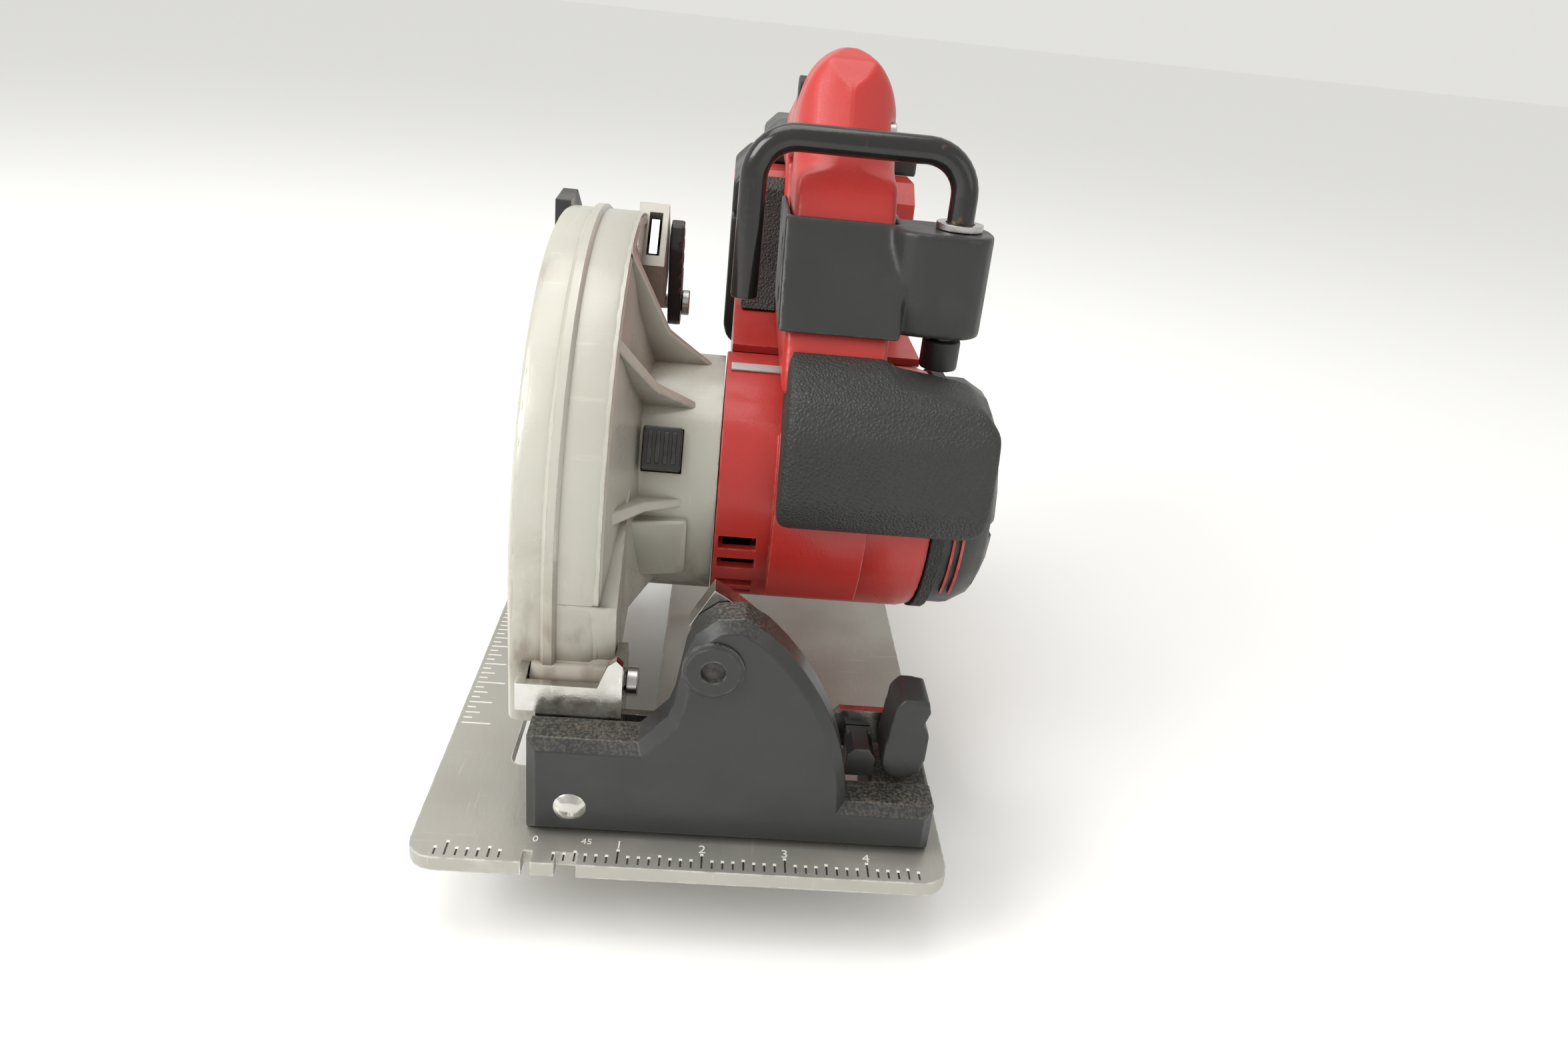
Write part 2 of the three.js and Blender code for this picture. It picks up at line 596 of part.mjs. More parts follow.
function hookBracket() {
  const collar = prism("x", [[76.5, 150.5], [124, 150.5], [139, 183], [95, 183]], 62, 100.5);
  const arm = prism("z", rounded(96, 128, 84, 111, 10), 150.5, 183);
  const bore = disc("z", HOOK.x, HOOK.y, HOOK.rod + 0.4, 140, 190, 0, 20);
  const sideHoles = [158, 173].map((z) => disc("x", 92 + (z - 150) * 0.58, z, 3, 55, 63.4, 0, 14));
  return cut(join(collar, arm), columnClearance(), bore, ...sideHoles);
}

function hookRod() {
  const { x, y, rod, low, high, end, left, bend } = HOOK;
  const route = [[x, y, low], [x, y, (low + high) / 2], [x, y, high - bend]];
  for (const [u, v] of arc(x - bend, high - bend, bend, 22.5, 90, 3)) {
    route.push([u, y, v]);
  }
  route.push([(x + left) / 2, y, high]);
  for (const [u, v] of arc(left + bend, high - bend, bend, 90, 180, 4)) {
    route.push([u, y, v]);
  }
  route.push([left, y, (high + end) / 2], [left, y, end]);
  return join(tube(route, rod, 10, 40), disc("z", x, y, 6.3, low - 2, low + 8, 0, 16));
}

function hookWasher() {
  return disc("z", HOOK.x, HOOK.y, 7.5, 183.3, 185.3, HOOK.rod + 0.4, 20);
}

// ---- rear housing and battery, given where they stand at rest ---------------------------------
function rearHousing() {
  const outline = [[130, 60], [158, 57], [222, 84], [222, 183], [200, 183], [190.5, 176], [186.5, 149],
    [173.5, 134.5], [160, 130.9], [130, 130.9]];
  const room = [[120, 64], [157, 61], [218, 88], [218, 179], [202, 179], [194.5, 173], [190, 146], [176, 130],
    [160, 127], [120, 127]];
  return cut(cut(prism("x", outline, 49, 117), prism("x", room, 52.5, 113.5)), motorClearance(0.4));
}

function batteryMount() {
  const mount = prism("y", [[58, 182.5], [121, 182.5], [121, 192], [117, 196], [64, 196], [58, 190]], 225, 320);
  return cut(mount, box(71.5, 94.5, 226, 246, 180, 189));
}

function batteryTub() {
  const { left, right, front, back, bottom, split } = BATTERY;
  const tub = prism("y", [...arc(right - 9, bottom + 9, 9, -90, 0, 4), [right, split - GAP], [left, split - GAP],
    ...arc(left + 9, bottom + 9, 9, 180, 270, 4)], front, back);
  const slope = prism("x", [[262, bottom], [back + 1, bottom + 11], [back + 1, bottom - 5], [262, bottom - 5]],
    left - 1, right + 1);
  const room = prism("x", [[front + 3, bottom + 3], [262, bottom + 3], [back - 3, bottom + 14], [back - 3, split + 5],
    [front + 3, split + 5]], left + 3, right - 3);
  return cut(tub, slope, room);
}

function batteryLid() {
  const { left, right, front, back, split, top } = BATTERY;
  const lid = prism("y", [[left, split], [right, split], [right, top - 7], [right - 7, top], [left + 7, top],
    [left, top - 7]], front, back);
  const room = box(left + 3, right - 3, front + 3, back - 3, split - 1, split + 4);
  const pockets = [left, right].map((x) => box(x - 5, x + 5, 245, 267, split + 6, split + 13));
  return cut(lid, room, ...pockets);
}

function batteryLatch(side) {
  const face = side === "left" ? BATTERY.left : BATTERY.right - 3;
  return box(face, face + 3, 245.5, 266.5, BATTERY.split + 6.5, BATTERY.split + 12.5);
}

function cellPack() {
  const cells = [];
  for (let row = 0; row < 5; row += 1) {
    for (let level = 0; level < 2; level += 1) {
      cells.push(disc("x", 238 + row * 17.4, 125 + level * 17.4, 8.3, 50.5, 115.5, 0, 8));
    }
  }
  return join(...cells, box(58, 108, 238, 306, 132, 137));
}

// ---- assembly -------------------------------------------------------------------------------
piece(saw, "shoe_plate", shoePlate(), MAGNESIUM);
piece(saw, "front_bracket", frontBracket(), BLACK);
piece(saw, "bracket_screw_1", bracketScrew(40), STEEL);
piece(saw, "bracket_screw_2", bracketScrew(108), STEEL);
piece(saw, "front_rivet", domedRivet(12.2, 29.6, 3.9), ZINC);
piece(saw, "stop_screw", stopScrew(), STEEL);
piece(saw, "bevel_quadrant", quadrant(), ZINC);
piece(saw, "rear_bracket", rearBracket(), ZINC);
piece(saw, "rear_rivet", domedRivet(251.6, 260.9, 3.9), ZINC);

piece(saw, "front_arm", frontArm(), ZINC);
piece(saw, "depth_pin", depthPin(), STEEL);
piece(saw, "clamp_block", clampBlock(), BLACK);
piece(saw, "bevel_bolt", bevelBolt(), STEEL);
piece(saw, "bevel_knob", bevelKnob(), BLACK);
piece(saw, "rear_arm", rearArm(), ZINC);

piece(upper, "guard_cover", guardCover(), GREY_PAINT);
piece(upper, "upper_guard", cut(upperGuard(), lockBox(0.35, 30, 50)), GREY_PAINT);
piece(upper, "gear_plate", gearPlate(MOTOR.left - 12, MOTOR.left - 9), STEEL);
piece(upper, "spindle_bearing", flange(12.6, 20.6, 7.7, 13), STEEL);
piece(upper, "inner_bearing", flange(35.3, 38.3, 7.7, 11), STEEL);
piece(upper, "spindle_lock", spindleLock(), BLACK);
piece(upper, "dust_chute", dustChute(), BLACK);
piece(upper, "depth_bolt", depthBolt(), STEEL);
piece(upper, "depth_lever", depthLever(), BLACK);

piece(upper, "blade", blade(), STEEL);
piece(upper, "spindle", spindle(), STEEL);
piece(upper, "drive_gear", toothed(ARBOR.y, ARBOR.z, 23.4, 28, 1.4, 22.5, 29.5, 7.7), STEEL);
piece(upper, "inner_flange", flange(-0.15, 2, 8.1, 19), STEEL);
piece(upper, "outer_flange", flange(-6, -2.7, 1.5, 18), STEEL);
piece(upper, "blade_bolt", bladeBolt(), STEEL);

piece(upper, "lower_guard", lowerGuard(), MAGNESIUM);
piece(upper, "guard_lever", guardLever(), BLACK);
piece(upper, "guard_spring", guardSpring(), STEEL);

piece(upper, "motor_housing", motorHousing(), RED);
piece(upper, "stator", stator(), COPPER);
piece(upper, "rotor", rotor(), STEEL);
piece(upper, "fan", fan(), BLACK);
piece(upper, "rear_bearing", disc("x", MOTOR.y, MOTOR.z, 8.6, 127, 133, 4.2, 20), STEEL);
piece(upper, "end_ring", disc("x", MOTOR.y, MOTOR.z, MOTOR.radius, 119.3, 124, 39, 40), RUBBER);
piece(upper, "end_cap", endCap(), BLACK);
piece(upper, "rating_label", ratingLabel(), SILVER_FILM);

piece(saw, "handle_left", handleLeft(), RED);
piece(saw, "handle_right", handleRight(), RED);
HANDLE_SCREWS.forEach((place, i) => piece(saw, `handle_screw_${i + 1}`, handleScrew(place), STEEL));
piece(saw, "front_knob", frontKnob(), RUBBER);
piece(saw, "trigger", trigger(), BLACK);
piece(saw, "trigger_switch", triggerSwitch(), BLACK);
piece(saw, "lock_off", lockOff(), BLACK);

piece(saw, "hook_bracket", hookBracket(), BLACK);
piece(saw, "hook_rod", hookRod(), ENAMEL);
piece(saw, "hook_washer", hookWasher(), STEEL);

piece(saw, "rear_housing", rearHousing(), RED);
piece(saw, "battery_mount", batteryMount(), BLACK);
piece(saw, "battery_tub", batteryTub(), BLACK);
piece(saw, "battery_lid", batteryLid(), BLACK);
piece(saw, "battery_latch_left", batteryLatch("left"), RED);
piece(saw, "battery_latch_right", batteryLatch("right"), RED);
piece(saw, "cell_pack", cellPack(), STEEL);

export default saw;
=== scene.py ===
from math import cos, pi, radians, sin

import bmesh
import bpy
from mathutils import Matrix, Vector


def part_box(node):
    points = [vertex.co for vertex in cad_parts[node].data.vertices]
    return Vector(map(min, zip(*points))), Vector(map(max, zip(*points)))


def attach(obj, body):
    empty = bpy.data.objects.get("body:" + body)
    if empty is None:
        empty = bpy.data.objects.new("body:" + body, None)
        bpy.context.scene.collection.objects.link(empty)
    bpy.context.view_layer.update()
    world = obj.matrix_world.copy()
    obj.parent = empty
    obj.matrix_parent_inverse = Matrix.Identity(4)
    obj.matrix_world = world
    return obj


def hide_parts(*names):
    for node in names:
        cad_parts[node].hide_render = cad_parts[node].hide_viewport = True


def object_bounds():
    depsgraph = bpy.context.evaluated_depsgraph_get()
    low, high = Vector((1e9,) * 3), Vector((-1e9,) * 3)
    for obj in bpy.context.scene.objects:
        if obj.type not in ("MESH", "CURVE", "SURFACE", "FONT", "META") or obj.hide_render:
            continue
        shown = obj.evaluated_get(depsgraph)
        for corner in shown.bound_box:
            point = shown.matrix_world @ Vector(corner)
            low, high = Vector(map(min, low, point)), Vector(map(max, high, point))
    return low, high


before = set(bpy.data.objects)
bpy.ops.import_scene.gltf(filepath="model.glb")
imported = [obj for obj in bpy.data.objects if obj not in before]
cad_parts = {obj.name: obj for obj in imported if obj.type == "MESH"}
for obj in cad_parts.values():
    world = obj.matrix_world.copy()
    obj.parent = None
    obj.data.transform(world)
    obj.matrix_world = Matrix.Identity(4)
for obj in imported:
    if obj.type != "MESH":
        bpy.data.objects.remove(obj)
CAD_LOW, CAD_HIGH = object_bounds()

# Working coordinates, in mm: X = 0 is the cut line's zero, Y = 0 the shoe's front edge, Z = 0 the sole.
MM = 0.001
ORIGIN = Vector((-80, -130, 0))
PIVOT = Vector((0, 39, 45))  # depth pivot
REST_PITCH = radians(22)  # the head is drawn level and then turned up by this about the pivot

# Shoe, from the cut line
INCH = 25.4
SOLE_TOP = 5.0
SHOE_LEFT, SHOE_RIGHT = -37.0, 126.5

# Saw head, from the depth pivot
ARBOR_Y, ARBOR_Z = 101.2, -13.9
MOTOR_Y, MOTOR_Z = 86.2, 10.5
GUARD_RADIUS, GUARD_RIGHT = 101.0, 14.0
NECK_RADIUS = 42.0
BUTTON_TURN = radians(37.8)  # the spindle-lock button leans forward by this about the motor's axis

# Other places, from the cut line and the shoe's front edge
BEVEL_X, BEVEL_Z = 9.8, 16.3
STOP_X, STOP_Z = 49.8, 68.4
GRIP_X = 81.0
LOCK_OFF_Y, LOCK_OFF_Z = 160.0, 216.0
HOOK_X, HOOK_Y = 117.0, 97.0
HOOK_TIP_X, HOOK_TIP_Z = 51.0, 156.0


def at(x, y, z):
    """A point of the shoe's frame, in metres."""
    return (Vector((x, y, z)) + ORIGIN) * MM


def on_head(x, y, z):
    """A point given from the depth pivot on the level head, in metres at rest."""
    turned = Matrix.Rotation(REST_PITCH, 3, "X") @ Vector((x, y, z))
    return (turned + PIVOT + ORIGIN) * MM


def about(u, v, radius, angle):
    """The point at an angle in degrees on a circle about (u, v)."""
    return (u + radius * cos(radians(angle)), v + radius * sin(radians(angle)))


def headings(path):
    """Each point of a flat path, with the unit direction of the path there."""
    for i, here in enumerate(path):
        before, after = path[max(0, i - 1)], path[min(len(path) - 1, i + 1)]
        yield here, Vector((after[0] - before[0], after[1] - before[1])).normalized()


# Materials


def ramp(nodes, links, source, low, high, reverse=False):
    """Maps source from low..high to 0..1, or to 1..0."""
    node = nodes.new("ShaderNodeMapRange")
    node.inputs["From Min"].default_value = low
    node.inputs["From Max"].default_value = high
    node.inputs["To Min"].default_value = 1.0 if reverse else 0.0
    node.inputs["To Max"].default_value = 0.0 if reverse else 1.0
    links.new(source, node.inputs["Value"])
    return node.outputs["Result"]


def times(nodes, links, a, b):
    """a times b, each a socket or a number."""
    node = nodes.new("ShaderNodeMath")
    node.operation = "MULTIPLY"
    for socket, value in zip(node.inputs, (a, b)):
        if isinstance(value, float):
            socket.default_value = value
        else:
            links.new(value, socket)
    return node.outputs[0]


def larger(nodes, links, a, b):
    """The larger of two sockets."""
    node = nodes.new("ShaderNodeMath")
    node.operation = "MAXIMUM"
    links.new(a, node.inputs[0])
    links.new(b, node.inputs[1])
    return node.outputs[0]


def mixed(nodes, links, factor, a, b):
    """The colour a where factor is 0 and b where it is 1."""
    node = nodes.new("ShaderNodeMix")
    node.data_type = "RGBA"
    links.new(factor, node.inputs["Factor"])
    for name, value in (("A", a), ("B", b)):
        socket = [s for s in node.inputs if s.name == name and s.type == "RGBA"][0]
        if isinstance(value, tuple):
            socket.default_value = (*value, 1)
        else:
            links.new(value, socket)
    return [s for s in node.outputs if s.type == "RGBA"][0]


def noise(nodes, links, place, scale, detail=4.0, stretch=None):
    """Noise of about 0.5 over the object, finer as scale grows, and squeezed by stretch."""
    source = place
    if stretch:
        mapping = nodes.new("ShaderNodeMapping")
        mapping.inputs["Scale"].default_value = stretch
        links.new(place, mapping.inputs["Vector"])
        source = mapping.outputs[0]
    node = nodes.new("ShaderNodeTexNoise")
    node.inputs["Scale"].default_value = scale
    node.inputs["Detail"].default_value = detail
    links.new(source, node.inputs["Vector"])
    return node.outputs["Fac"]


def off_edge(nodes, links):
    """1 on a flat face, falling towards an edge."""
    blurred = nodes.new("ShaderNodeBevel")
    blurred.samples = 4
    blurred.inputs["Radius"].default_value = 0.0011
    geometry = nodes.new("ShaderNodeNewGeometry")
    agree = nodes.new("ShaderNodeVectorMath")
    agree.operation = "DOT_PRODUCT"
    links.new(blurred.outputs[0], agree.inputs[0])
    links.new(geometry.outputs["Normal"], agree.inputs[1])
    return agree.outputs["Value"]


def grime(nodes, links, place, patches, foot_grime):
    """Painted shade in corners and creases, from ambient occlusion, where patches allow it, and dirt streaks
    near the saw's foot.
    """
    corners = nodes.new("ShaderNodeAmbientOcclusion")
    corners.samples = 4
    corners.inputs["Distance"].default_value = 0.012
    # painted shade: darker where ambient occlusion finds a corner or crease
    inside = ramp(nodes, links, corners.outputs["AO"], 0.35, 0.85, True)
    height = nodes.new("ShaderNodeSeparateXYZ")
    links.new(place, height.inputs[0])
    foot = ramp(nodes, links, height.outputs["Z"], 0.055, 0.085, True)
    streaks = ramp(nodes, links, noise(nodes, links, place, 110.0, 6.0, (1.0, 1.0, 0.4)), 0.46, 0.60)
    low = times(nodes, links, foot, times(nodes, links, streaks, foot_grime))
    return larger(nodes, links, low, times(nodes, links, inside, patches))


def fallen_dust(nodes, links, place, normal):
    """Specks on faces that look up."""
    up = nodes.new("ShaderNodeSeparateXYZ")
    links.new(normal, up.inputs[0])
    specks = ramp(nodes, links, noise(nodes, links, place, 1100.0, 4.0), 0.42, 0.75)
    level_face = ramp(nodes, links, up.outputs["Z"], 0.55, 0.9)
    return times(nodes, links, level_face, times(nodes, links, specks, 0.6))


def finish(
    name,
    colour,
    rough,
    metal=0.0,
    tone=None,
    tone_scale=45.0,
    grain=900.0,
    bump=0.1,
    grain_stretch=None,
    leather=0.0,
    wear=None,
    wear_at=(0.86, 0.985),
    stain=None,
    stain_scale=30.0,
    stain_at=(0.56, 0.7),
    scratches=0.0,
    coat=0.0,
    rough_spread=0.12,
    dirt_and_corner_shade=None,
    foot_grime=0.0,
    dust=None,
):
    """A worn surface: base colour with slow tone change, edge wear, stains, fine grain and scratches."""
    material = bpy.data.materials.new(name)
    material.use_nodes = True
    nodes, links = material.node_tree.nodes, material.node_tree.links
    shader = nodes["Principled BSDF"]
    coordinates = nodes.new("ShaderNodeTexCoord")
    place, normal = coordinates.outputs["Object"], coordinates.outputs["Normal"]
    slow = noise(nodes, links, place, tone_scale, 5.0)
    other = tone or tuple(c * 0.82 for c in colour)
    result = mixed(nodes, links, ramp(nodes, links, slow, 0.35, 0.65), colour, other)
    if stain:
        patch = noise(nodes, links, place, stain_scale, 7.0)
        result = mixed(nodes, links, ramp(nodes, links, patch, *stain_at), result, stain)
    if scratches:
        line = noise(nodes, links, place, 60.0, 3.0, (0.6, 9.0, 1.0))
        crossing = noise(nodes, links, place, 70.0, 3.0, (9.0, 0.7, 1.3))
        long_marks = ramp(nodes, links, line, 0.66, 0.72)
        cross_marks = ramp(nodes, links, crossing, 0.67, 0.73)
        marks = times(nodes, links, larger(nodes, links, long_marks, cross_marks), scratches)
        pale = tuple(min(1.0, c * 1.5 + 0.03) for c in colour)
        result = mixed(nodes, links, marks, result, pale)
    if wear:
        broken = noise(nodes, links, place, 260.0, 6.0)
        edge = ramp(nodes, links, off_edge(nodes, links), *wear_at, reverse=True)
        chipped = times(nodes, links, edge, ramp(nodes, links, broken, 0.42, 0.58))
        result = mixed(nodes, links, chipped, result, wear)
    # Painted corner shade from ambient occlusion in slow patches, with dirt streaks near the foot where
    # foot_grime allows them
    if dirt_and_corner_shade:
        patches = ramp(nodes, links, slow, 0.3, 0.6)
        dirt_and_shade = grime(nodes, links, place, patches, foot_grime)
        result = mixed(nodes, links, dirt_and_shade, result, dirt_and_corner_shade)
    if dust:
        result = mixed(nodes, links, fallen_dust(nodes, links, place, normal), result, dust)
    links.new(result, shader.inputs["Base Color"])
    rougher = ramp(nodes, links, noise(nodes, links, place, tone_scale * 3, 6.0), 0.3, 0.7)
    level = nodes.new("ShaderNodeMapRange")
    level.inputs["To Min"].default_value = max(0.04, rough - rough_spread)
    level.inputs["To Max"].default_value = min(1.0, rough + rough_spread)
    links.new(rougher, level.inputs["Value"])
    links.new(level.outputs["Result"], shader.inputs["Roughness"])
    shader.inputs["Metallic"].default_value = metal
    shader.inputs["Coat Weight"].default_value = coat
    height = noise(nodes, links, place, grain, 3.0, grain_stretch)
    if leather:
        cells = nodes.new("ShaderNodeTexVoronoi")
        cells.feature = "DISTANCE_TO_EDGE"
        cells.inputs["Scale"].default_value = leather
        links.new(place, cells.inputs["Vector"])
        height = ramp(nodes, links, cells.outputs["Distance"], 0.0, 0.35)
    relief = nodes.new("ShaderNodeBump")
    relief.inputs["Strength"].default_value = bump
    relief.inputs["Distance"].default_value = 0.0006
    links.new(height, relief.inputs["Height"])
    links.new(relief.outputs[0], shader.inputs["Normal"])
    return material


RED = (0.50, 0.030, 0.024)
BLACK = (0.020, 0.0205, 0.020)

MAGNESIUM = finish(
    "cast_magnesium", (0.45, 0.435, 0.395), 0.42, 0.6, tone=(0.40, 0.382, 0.34), tone_scale=12.0,
    stain=(0.33, 0.27, 0.20), stain_scale=14.0, stain_at=(0.60, 0.85), scratches=0.22,
    wear=(0.72, 0.71, 0.69), grain=700.0, grain_stretch=(1.0, 0.25, 1.0), bump=0.12,
)
PAINT = finish(
    "guard_paint", (0.50, 0.49, 0.425), 0.34, 0.1, tone=(0.45, 0.435, 0.375), tone_scale=12.0,
    stain=(0.30, 0.25, 0.19), stain_scale=16.0, stain_at=(0.62, 0.85), scratches=0.12,
    wear=(0.30, 0.27, 0.23), wear_at=(0.80, 0.95), coat=0.15, grain=500.0, bump=0.08,
    # brown for the dirt streaks at the guard's foot and for the painted shade in corners
    dirt_and_corner_shade=(0.12, 0.085, 0.055), foot_grime=0.55,
)
RED_NYLON = finish(
    "red_nylon", RED, 0.36, 0.0, tone=(0.47, 0.027, 0.022), tone_scale=10.0,
    wear=(0.62, 0.14, 0.12), scratches=0.04, grain=1500.0, bump=0.10, coat=0.10,
    # painted shade only: with no foot grime, this dark red darkens just the corners and creases
    dirt_and_corner_shade=(0.10, 0.03, 0.02),
)
RUBBER = finish(
    "black_rubber", (0.026, 0.0265, 0.024), 0.55, 0.0, tone=(0.021, 0.0215, 0.020), tone_scale=14.0,
    leather=800.0, bump=0.45, grain=900.0, stain=(0.050, 0.045, 0.036), stain_scale=20.0,
    stain_at=(0.62, 0.88),
)
PLASTIC = finish(
    "black_plastic", BLACK, 0.40, 0.0, tone=(0.025, 0.025, 0.024), tone_scale=14.0,
    wear=(0.09, 0.088, 0.085), scratches=0.04, grain=1400.0, bump=0.08,
    stain=(0.055, 0.050, 0.042), stain_scale=20.0, stain_at=(0.64, 0.88),
)
BRACKET = finish(
    "black_bracket", (0.024, 0.025, 0.0245), 0.42, 0.0, tone=(0.019, 0.020, 0.0195), tone_scale=14.0,
    wear=(0.15, 0.15, 0.145), scratches=0.05, grain=800.0, bump=0.08,
    stain=(0.075, 0.068, 0.058), stain_scale=18.0, stain_at=(0.60, 0.85), coat=0.05,
    dust=(0.22, 0.19, 0.14),
)
ZINC = finish(
    "zinc_plate", (0.66, 0.65, 0.62), 0.24, 1.0, tone=(0.52, 0.50, 0.46), tone_scale=60.0,
    stain=(0.30, 0.22, 0.14), stain_scale=70.0, stain_at=(0.60, 0.76), scratches=0.4,
    grain=1200.0, bump=0.05,
)
STEEL = finish(
    "bare_steel", (0.56, 0.55, 0.54), 0.28, 1.0, tone=(0.42, 0.41, 0.40), tone_scale=50.0,
    scratches=0.6, grain=1600.0, grain_stretch=(1.0, 0.2, 1.0), bump=0.06,
    stain=(0.28, 0.20, 0.13), stain_scale=50.0, stain_at=(0.62, 0.80),
)
ENAMEL = finish(
    "gloss_black_enamel", (0.007, 0.007, 0.007), 0.20, 0.0, tone=(0.012, 0.011, 0.010),
    stain=(0.20, 0.11, 0.06), stain_scale=90.0, stain_at=(0.66, 0.76), coat=0.15, scratches=0.25,
    grain=500.0, bump=0.08, rough_spread=0.06,
)
COPPER = finish("motor_copper", (0.70, 0.30, 0.16), 0.35, 1.0, grain=1500.0, bump=0.2)
LABEL = finish(
    "silver_label", (0.62, 0.62, 0.61), 0.34, 0.55, tone=(0.50, 0.50, 0.49), scratches=0.3,
    grain=1500.0, bump=0.04,
)
WHITE_INK = finish(
    "scale_white", (0.78, 0.76, 0.70), 0.6, 0.0, tone=(0.70, 0.68, 0.62), tone_scale=300.0,
)
# black print for the scale marks, also used as the painted shade of the stop screw's hole
BLACK_INK_AND_SHADE = finish(
    "scale_black", (0.012, 0.012, 0.012), 0.55, 0.0, tone=(0.06, 0.05, 0.045), tone_scale=300.0,
)

OF_SLOT = {
    "magnesium": MAGNESIUM,
    "guard_paint": PAINT,
    "red_nylon": RED_NYLON,
    "black_rubber": RUBBER,
    "black_plastic": PLASTIC,
    "black_bracket": BRACKET,
    "zinc": ZINC,
    "steel": STEEL,
    "enamel": ENAMEL,
    "copper": COPPER,
    "label_film": LABEL,
}


# The CAD nodes' own finish: softened edges, rounded mouldings and the slot's material

PLAIN_EDGE = 0.4  # mm
EDGE = {
    "shoe_plate": 0.6,
    "guard_cover": 1.2,
    "upper_guard": 1.2,
    "clamp_block": 1.0,
    "motor_housing": 0.8,
    "rear_housing": 2.0,
    "battery_mount": 1.5,
    "end_cap": 0.8,
}
SHARP = {"blade", "drive_gear", "rotor", "stator", "guard_spring", "cell_pack", "rating_label", "fan"}
MOULDED = {  # voxel in mm, smoothing rounds
    "front_knob": (1.1, 16),
    "hook_bracket": (0.9, 6),
    "bevel_knob": (0.7, 7),
    "battery_tub": (1.4, 6),
    "battery_lid": (1.4, 6),
    "depth_lever": (0.6, 3),
    "trigger": (0.7, 5),
    "spindle_lock": (0.5, 3),
    "front_rivet": (0.4, 5),
}


def soften(obj, width, angle=32):
    """Flat faces made whole, and the edges between them rounded."""
    joined = obj.modifiers.new("joined_faces", "WELD")
    joined.merge_threshold = 0.01 * MM
    whole = obj.modifiers.new("whole_faces", "DECIMATE")
    whole.decimate_type = "DISSOLVE"
    whole.angle_limit = radians(1.0)
    round_off = obj.modifiers.new("soft_edges", "BEVEL")
    round_off.width = width * MM
    round_off.segments = 3 if width > 1 else 2
    round_off.limit_method = "ANGLE"
    round_off.angle_limit = radians(angle)
    round_off.harden_normals = True


def even_out(obj, voxel):
    """A mesh of even faces, voxel mm wide, in place of the piece's own."""
    even = obj.modifiers.new("even_mesh", "REMESH")
    even.mode = "VOXEL"
    even.voxel_size = voxel * MM
    return even


def rub_down(obj, rounds):
    """Smooths the shape over a number of rounds."""
    rub = obj.modifiers.new("rub_down", "SMOOTH")
    rub.factor = 0.8
    rub.iterations = rounds


def mould(obj, voxel, rounds):
    """A soft rounded moulding: an even mesh, smoothed."""
    even_out(obj, voxel).use_smooth_shade = True
    rub_down(obj, rounds)


def smooth(obj, angle=32):
    """Smooth shading that keeps edges sharper than the angle, in degrees."""
    obj.data.shade_smooth()
    obj.data.set_sharp_from_angle(angle=radians(angle))


for name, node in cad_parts.items():
    for place in node.material_slots:
        if place.material:
            for key, material in OF_SLOT.items():
                if place.material.name.split(".")[0].endswith(key):
                    place.material = material
                    break
    if name in SHARP:
        smooth(node)
    else:
        node.data.shade_smooth()
        if "custom_normal" in node.data.attributes:
            node.data.attributes.remove(node.data.attributes["custom_normal"])
    if name in MOULDED:
        mould(node, *MOULDED[name])
    elif name not in SHARP:
        soften(node, EDGE.get(name, PLAIN_EDGE))


# Pieces drawn here


def shape(name, points, faces, material, body, slot, place=at, edge=0.0, stands_for=()):
    """A piece from points that place() turns into metres, riding on a body, its edges rounded by edge mm."""
    mesh = bpy.data.meshes.new(name)
    mesh.from_pydata([place(*p) for p in points], [], faces)
    tidy = bmesh.new()
    tidy.from_mesh(mesh)
    bmesh.ops.recalc_face_normals(tidy, faces=tidy.faces)
    tidy.to_mesh(mesh)
    tidy.free()
    obj = bpy.data.objects.new(name, mesh)
    bpy.context.scene.collection.objects.link(obj)
    mesh.materials.append(material)
    smooth(obj)
    if edge:
        soften(obj, edge)
    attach(obj, body)
    if stands_for:
        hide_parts(*stands_for)


def sweep(rings, closed=False):
    """Points and faces of a tube through equal rings of points, capped unless it is closed."""
    count = len(rings[0])
    points = [p for ring in rings for p in ring]
    faces = []
    last = len(rings) if closed else len(rings) - 1
    for i in range(last):
        a, b = i * count, (i + 1) % len(rings) * count
        faces += [(a + k, a + (k + 1) % count, b + (k + 1) % count, b + k) for k in range(count)]
    if not closed:
        faces += [tuple(range(count)), tuple(range(len(points) - count, len(points)))]
    return points, faces


def slab(outline, low, high):
    """An outline of (y, z) points swept along X."""
    return sweep([[(x, y, z) for y, z in outline] for x in (low, high)])


def blocks(boxes):
    """Many boxes (x0, x1, y0, y1, z0, z1) as one mesh."""
    points, faces = [], []
    for x0, x1, y0, y1, z0, z1 in boxes:
        corners, sides = slab([(y0, z0), (y1, z0), (y1, z1), (y0, z1)], x0, x1)
        faces += [tuple(i + len(points) for i in side) for side in sides]
        points += corners
    return points, faces


# Shoe: the scales on the front strip and along the left edge

INK = 0.06
LEFT_SCALE_START = 67.0


def scale_front():
    """Black marks every eighth of an inch, each with a white dot, clear of the notch at zero."""
    white, black = [], []
    first, last = -9, 38
    start, black_half, dot_half = 1.4, 0.28, 0.5
    for i in range(first, last + 1):
        x = i * INCH / 8
        if -8 < x < 3.5 or x > SHOE_RIGHT - 6:
            continue
        end = start + (5.2 if i % 8 == 0 else 3.6 if i % 4 == 0 else 2.6)
        black.append((x - black_half, x + black_half, start, end, SOLE_TOP, SOLE_TOP + INK))
        white.append((x - dot_half, x + dot_half, end, end + 2 * dot_half, SOLE_TOP, SOLE_TOP + INK))
    return white, black


